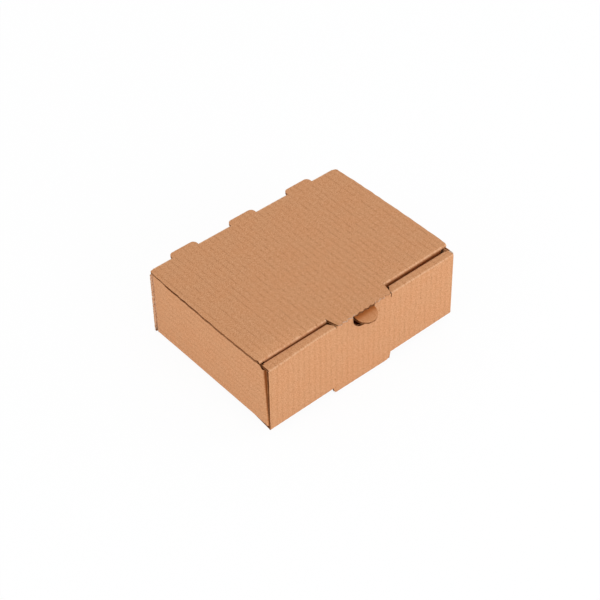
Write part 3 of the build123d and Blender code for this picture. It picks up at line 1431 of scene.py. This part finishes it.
@dataclass
class Lid:
    """Lid panel with its front tab, tuck flap and vent tabs."""

    sizes: BoxSizes
    board: Board
    papers: Papers
    row: float = 9.0 * MM
    bend_steps: int = 5
    back_half: float = 60.0 * MM
    front_half: float = 61.4 * MM
    bow: float = 0.6 * MM
    corner: float = 2.2 * MM
    side_steps: int = 30
    bead_steps: int = 24
    tuck_half: float = 57.5 * MM
    tuck_length: float = 18.0 * MM
    tuck_tilt: float = math.radians(6.0)
    tuck_taper: float = 3.0 * MM
    tuck_corner: float = 6.0 * MM
    tuck_steps: int = 8
    tab_corner: float = 0.9 * MM
    tab_steps: int = 4
    tab_pinch: float = 0.7
    open_pinch_share: float = 0.4
    open_half: float = 6.6 * MM
    open_middle: float = 0.4 * MM
    pinch_reach: float = 1.6 * MM
    edge_lift: float = 0.5 * MM
    lift_start: float = 20.0 * MM
    lift_share: float = 0.7
    skew: float = 0.7 * MM
    yaw: float = 0.0105
    nick: float = 0.36 * MM
    corner_cut: float = 1.3 * MM
    right_corner_cut: float = 0.65 * MM
    corner_foot: float = 0.4 * MM
    tab_over: float = 0.5 * MM
    vent_short: float = 0.8 * MM
    sharp_corner: float = 0.9 * MM
    back_yaw: float = 0.012
    back_share: float = 0.5
    plain_reach: float = 13.0 * MM
    ragged: float = 0.35 * MM
    ragged_seed: int = 7
    # Painted shade on the tuck flap, rising just below its fold and fading further down.
    painted_shade_reach: float = 6.0 * MM
    painted_shade_start: float = 1.5 * MM
    plain_fray: float = 0.4
    corner_fray: float = 1.1
    left_fray: float = 1.1
    right_fray: float = 0.85

    def __post_init__(self) -> None:
        """Works out the run of the folded lid."""
        s = self.sizes
        self.y_tab = s.front - self.tab_over
        y_fold = s.front + 2 * self.board.thickness + s.cavity + s.lid_gap
        y_mid = y_fold + self.board.half
        z = s.hinge[1]
        tip = (y_mid + self.tuck_length * math.sin(self.tuck_tilt),
               z - self.tuck_length * math.cos(self.tuck_tilt))
        self.y_fold = y_fold
        self.path = FoldPath([tip, (y_mid, z), (s.vent_end - self.vent_short, z)], [self.board.bend])

    def build(self) -> None:
        """Makes and dresses the lid's sheet and the bead along its hinge."""
        pieces = [self.make_sheet(), self.make_bead()]
        self.papers.dress(pieces, "lid")
        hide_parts("lid")

    @property
    def level(self) -> Run:
        """The flat run of the lid panel."""
        return self.path.runs[1]

    def along(self, y: float) -> float:
        """Place along the lid's sheet of a depth on its flat run, or straight on from it."""
        return self.level.reach((y, self.sizes.hinge[1]))

    def half_at(self, y: float) -> float:
        """Half the lid's width at a depth.

        Args:
            y: the depth.

        Returns:
            The half width.
        """
        t = (self.sizes.hinge[0] - y) / (self.sizes.hinge[0] - self.y_fold)
        straight = self.back_half + (self.front_half - self.back_half) * t
        return straight + 4 * self.bow * t * (1 - t)

    def place(self, u: float, v: float, h: float) -> Vector:
        """Puts a point of the lid's sheet in its place.

        Args:
            u: place across the flutes.
            v: place along the run.
            h: height over the board's middle, positive on the outside.

        Returns:
            Where the point lies on the box.
        """
        s, half = self.sizes, self.board.half
        spot, normal = self.path.at(v)
        near_tip = 0.0
        if self.on_tab(u, v) and self.along(self.y_tab) - s.kerf / 2 < v < self.level.start:
            spot, normal = self.level.at(v)
            near_tip = smooth(self.pinch_reach, 0, v - self.along(self.y_tab))
            beside = smooth(self.open_half - half, self.open_half + half, abs(u - self.open_middle))
            share = self.open_pinch_share + (1 - self.open_pinch_share) * beside
            h = self.board.pinch(h, self.tab_pinch * near_tip * share)
        else:
            h = self.board.crush(h, self.path.crease(v))
        spot = spot + normal * h
        out = (s.hinge[0] - spot.x) / (s.hinge[0] - self.y_fold)
        lift = 0.0
        if v > self.level.start:
            to_left = smooth(-self.lift_start, -self.back_half, u)
            lift = self.edge_lift * smooth(0, self.lift_share, out) * to_left
        aslant = self.yaw * u * clamp(out) - self.back_yaw * u * smooth(self.back_share, 0, out)
        aslant += self.nick * math.cos(math.tau * u / self.board.pitch) * near_tip
        return Vector((u + self.skew * out, spot.x + aslant, spot.y + lift))

    def on_tab(self, u: float, v: float) -> bool:
        """Whether a place on the sheet lies between the sides of the front tab."""
        return abs(u) < self.tab_half(v) + self.sizes.kerf / 2

    def tab_half(self, v: float) -> float:
        """Half the front tab's width at a place along the sheet.

        Args:
            v: place along the run.

        Returns:
            The half width.
        """
        s = self.sizes
        t = (v - self.along(self.y_tab)) / (self.along(self.y_fold) - self.along(self.y_tab))
        return s.tab_front + (s.tab_back - s.tab_front) * clamp(t)

    def make_sheet(self) -> bpy.types.Object:
        """Makes the lid's board.

        Returns:
            The folded piece.
        """
        reach = self.sizes.lid_half + self.board.half
        fold = self.path.bends[0].start
        rows = self.path.stations(self.row, self.bend_steps) + [fold - self.painted_shade_start]
        sheet = Sheet(self.board, (-reach, reach), sorted(rows))
        self.trim_sides(sheet)
        self.trim_tuck(sheet)
        self.cut_tab(sheet)
        self.cut_ears(sheet)
        return sheet.fold("lid_board", self.place, self.crease, self.unshaded_and_torn, self.painted_shade)

    def crease(self, u: float, v: float) -> float:
        """How creased the lid is: its front tab is flat."""
        return 0.0 if self.on_tab(u, v) else self.path.crease(v)

    def unshaded_and_torn(self, u: float, v: float) -> float:
        """How far the lid's cut edges are lifted from their painted shade, and how torn they are: most
        along the front tab, on both sides of the thumb notch.

        Args:
            u: place across the flutes.
            v: place along the run.

        Returns:
            0 for an edge left in painted shade, and more where it shows its plain colour and torn specks.
        """
        if v > self.along(self.sizes.hinge[0] - self.plain_reach) and u < 0:
            return self.plain_fray
        if u > self.tuck_half and v < self.level.start + self.corner_cut:
            return self.corner_fray
        on_tip = abs(v - self.along(self.y_tab)) < self.sizes.kerf / 2
        if not on_tip or abs(u - self.open_middle) < self.open_half:
            return 0.0
        return self.left_fray if u < 0 else self.right_fray

    def painted_shade(self, u: float, v: float) -> float:
        """How much painted shade the lid gets: only on the tuck flap, under its fold.

        Args:
            u: place across the flutes.
            v: place along the run.

        Returns:
            0 for plain paper, up to 1 for full painted shade.
        """
        if self.on_tab(u, v):
            return 0.0
        under = self.path.bends[0].start - v
        return smooth(2 * self.painted_shade_reach, self.painted_shade_reach, under) * smooth(0, self.painted_shade_start, under)

    def trim_sides(self, sheet: Sheet) -> None:
        """Cuts the lid's sides to their slight bow.

        Args:
            sheet: the flat sheet.
        """
        s = self.sizes
        depths = spread(self.y_fold, s.hinge[0], self.side_steps)
        chance = random.Random(self.ragged_seed)
        for side in (-1, 1):
            halves = [self.half_at(y) - chance.uniform(0, self.ragged) for y in depths]
            out = side * (self.front_half + s.beyond)
            for near, far, a, b in zip(depths, depths[1:], halves, halves[1:]):
                sheet.cut([(side * a, self.along(near)), (out, self.along(near)), (out, self.along(far)),
                           (side * b, self.along(far))])

    def trim_tuck(self, sheet: Sheet) -> None:
        """Cuts the tuck flap's tapered sides and round corners, and the lid's front corners.

        Args:
            sheet: the flat sheet.
        """
        s = self.sizes
        wide, narrow = self.tuck_half, self.tuck_half - self.tuck_taper
        out = self.front_half + s.beyond
        root = self.level.start
        foot = self.path.bends[0].start - self.corner_foot
        for side, cut in ((-1, self.corner_cut), (1, self.right_corner_cut)):
            sheet.cut_box((side * wide, side * out), (-s.beyond, foot))
            sheet.cut([(side * wide, foot), (side * narrow, 0), (side * out, 0), (side * out, foot)])
            sheet.round_off((side * narrow, 0), (side * wide, foot), (0, 0), self.tuck_corner,
                            self.tuck_steps)
            sheet.cut([(side * (self.front_half - cut), foot), (side * out, foot),
                       (side * out, root + cut), (side * self.front_half, root + cut)])

    def cut_tab(self, sheet: Sheet) -> None:
        """Frees the front tab from the tuck flap.

        Args:
            sheet: the flat sheet.
        """
        s = self.sizes
        tip, fold, root = self.along(self.y_tab), self.along(self.y_fold), self.level.start
        sheet.cut_box((-s.tab_front - s.kerf, s.tab_front + s.kerf), (tip - s.kerf, tip))
        for side in (-1, 1):
            front, back = side * s.tab_front, side * s.tab_back
            gap = side * s.kerf
            sheet.cut([(front, tip - s.kerf), (front + gap, tip - s.kerf), (back + gap, fold),
                       (back, fold)])
            sheet.cut_box((back, back + gap), (fold, root))
            sheet.round_off((front, tip), (back, fold), (0, tip), self.tab_corner, self.tab_steps)

    def cut_ears(self, sheet: Sheet) -> None:
        """Leaves the vent tabs standing behind the hinge, and rounds the back corners.

        Args:
            sheet: the flat sheet.
        """
        s = self.sizes
        hinge, end = self.along(s.hinge[0]), self.path.end
        for gap in s.between_vents(self.front_half + s.beyond):
            sheet.cut_box(gap, (hinge, end + s.beyond))
        for x in s.vents:
            for side in (-1, 1):
                edge = x + side * s.vent_half
                sheet.round_off((edge, end), (edge, hinge), (x, end), s.vent_corner)
        for side, radius in ((-1, self.sharp_corner), (1, self.corner)):
            sheet.round_off((side * self.back_half, hinge), (side * self.half_at(0), self.along(0)),
                            (0, hinge), radius)

    def make_bead(self) -> bpy.types.Object:
        """Makes the rounded outside of the hinge crease between the vents.

        Returns:
            The piece.
        """
        s = self.sizes
        shape = bmesh.new()
        for low, high in s.between_vents(self.back_half - self.corner):
            turned = Matrix.Translation(((low + high) / 2, *s.hinge)) @ Matrix.Rotation(math.pi / 2, 4, "Y")
            bmesh.ops.create_cone(shape, cap_ends=True, segments=self.bead_steps, radius1=self.board.half,
                                  radius2=self.board.half, depth=high - low, matrix=turned)
        blank = shape.loops.layers.uv.new("blank")
        # The whole bead carries a full crease, painted paler: partly wear, partly painted highlight.
        bent = shape.verts.layers.float.new("crease")
        for vert in shape.verts:
            vert[bent] = 1.0
            vert.co.y -= self.back_yaw * vert.co.x
        for face in shape.faces:
            face.smooth = len(face.verts) == 4
            for loop in face.loops:
                loop[blank].uv = (loop.vert.co.x / self.board.pitch,
                                  (loop.vert.co.y + loop.vert.co.z) / self.board.pitch)
        return make_piece("lid_hinge_bead", shape)


@dataclass(frozen=True)
class Lamp:
    """A soft square lamp that faces the box."""

    name: str
    place: Triple
    power: float
    colour: Triple
    size: float = 1.2

    def hang(self) -> None:
        """Hangs the lamp in its place."""
        light = bpy.data.lights.new(self.name, "AREA")
        light.size = self.size
        light.energy = self.power
        light.color = self.colour
        holder = bpy.data.objects.new(self.name, light)
        holder.location = self.place
        holder.rotation_mode = "QUATERNION"
        holder.rotation_quaternion = (-Vector(self.place)).to_track_quat("-Z", "Y")
        bpy.context.scene.collection.objects.link(holder)


@dataclass
class Studio:
    """Floor, light and camera."""

    sizes: BoxSizes
    lens: float = 110.31
    sensor: float = 36.0
    nearest: float = 10.0 * MM
    camera_place: Triple = (-0.42728, -0.50963, 0.648)
    target: Triple = (-0.004345, -0.002859, 0.019)
    roll: float = math.radians(-1.219)
    floor_half: float = 3.0
    floor_dip: float = 2.4 * MM
    floor_gap: float = 0.6 * MM
    floor_colour: Colour = (0.93, 0.93, 0.93, 1.0)
    floor_glow: float = 0.94
    world_strength: float = 0.825
    lamps: tuple[Lamp, ...] = (
        Lamp("front", (0.1, -2.0, 0.6), 13.6, (0.94, 1.0, 1.08)),
        Lamp("left", (-1.9, 0.2, 0.7), 10.5, (0.94, 1.0, 1.08)),
        Lamp("right", (0.36, -0.26, 0.12), 0.36, (0.9, 1.0, 1.15), 0.3),
    )

    def build(self) -> None:
        """Sets up the whole studio."""
        bpy.context.scene.view_settings.view_transform = "Standard"
        self.make_floor()
        self.make_world()
        for lamp in self.lamps:
            lamp.hang()
        self.make_camera()

    def make_floor(self) -> None:
        """Makes the pale floor that the box's back edge and slot tongue rest on."""
        s = self.sizes
        shape = bmesh.new()
        bmesh.ops.create_grid(shape, x_segments=1, y_segments=1, size=self.floor_half)
        dip = self.floor_dip - s.lowest
        tilt = math.atan2(dip - self.floor_gap, s.back - s.front)
        bmesh.ops.rotate(shape, verts=shape.verts, cent=(0, 0, 0), matrix=Matrix.Rotation(tilt, 3, "X"))
        bmesh.ops.translate(shape, verts=shape.verts, vec=(0, 0, -(dip + self.floor_gap) / 2))
        floor = make_piece("floor", shape)
        material = bpy.data.materials.new("floor")
        graph = Graph(material)
        matte = graph.node("ShaderNodeBsdfDiffuse", None, {"Color": self.floor_colour})
        glow = graph.node("ShaderNodeEmission", None, {"Color": WHITE, "Strength": 1.0})
        mixed = graph.node("ShaderNodeMixShader", None, {0: graph.seen() * self.floor_glow,
                                                         1: matte.outputs[0], 2: glow.outputs[0]})
        graph.finish(mixed.outputs[0])
        floor.data.materials.append(material)

    def make_world(self) -> None:
        """Makes the even light of a white room, seen as plain white."""
        world = bpy.data.worlds.new("studio")
        bpy.context.scene.world = world
        graph = Graph(world)
        lit = graph.node("ShaderNodeBackground", None, {"Color": WHITE, "Strength": self.world_strength})
        white = graph.node("ShaderNodeBackground", None, {"Color": WHITE, "Strength": 1.0})
        mixed = graph.node("ShaderNodeMixShader", None, {0: graph.seen(), 1: lit.outputs[0],
                                                         2: white.outputs[0]})
        graph.finish(mixed.outputs[0], "ShaderNodeOutputWorld")

    def make_camera(self) -> None:
        """Puts the camera where the photograph was taken from."""
        data = bpy.data.cameras.new("camera")
        data.lens = self.lens
        data.sensor_width = self.sensor
        data.clip_start = self.nearest
        camera = bpy.data.objects.new("camera", data)
        place = Vector(self.camera_place)
        aim = (Vector(self.target) - place).to_track_quat("-Z", "Y")
        camera.location = place
        camera.rotation_mode = "QUATERNION"
        camera.rotation_quaternion = aim @ Quaternion((0, 0, 1), self.roll)
        bpy.context.scene.collection.objects.link(camera)
        bpy.context.scene.camera = camera


def main() -> None:
    """Builds the box and its studio."""
    logging.basicConfig(level=logging.INFO, format="%(message)s")
    sizes = BoxSizes.from_frame()
    board = Board()
    raw = RawEdge().make()
    # The fluted medium is darker still, as painted shade of the board's hollows, and is never lifted to its
    # plain colour or torn.
    flute = RawEdge("fluted_medium", dark=(0.08, 0.021, 0.003, 1.0), light=(0.22, 0.075, 0.016, 1.0),
                    unshaded_and_torn=0.0).make()
    # The walls' copy draws the flute lines fainter, and with them their painted shade.
    walls = KraftLiner("kraft_liner_walls", line_strength=0.28).make()
    Tray(sizes, board, Papers(walls, raw, flute)).build()
    top = KraftLiner("kraft_liner_lid").make()
    Lid(sizes, board, Papers(top, raw, flute)).build()
    Studio(sizes).build()


if __name__ == "__main__":
    main()
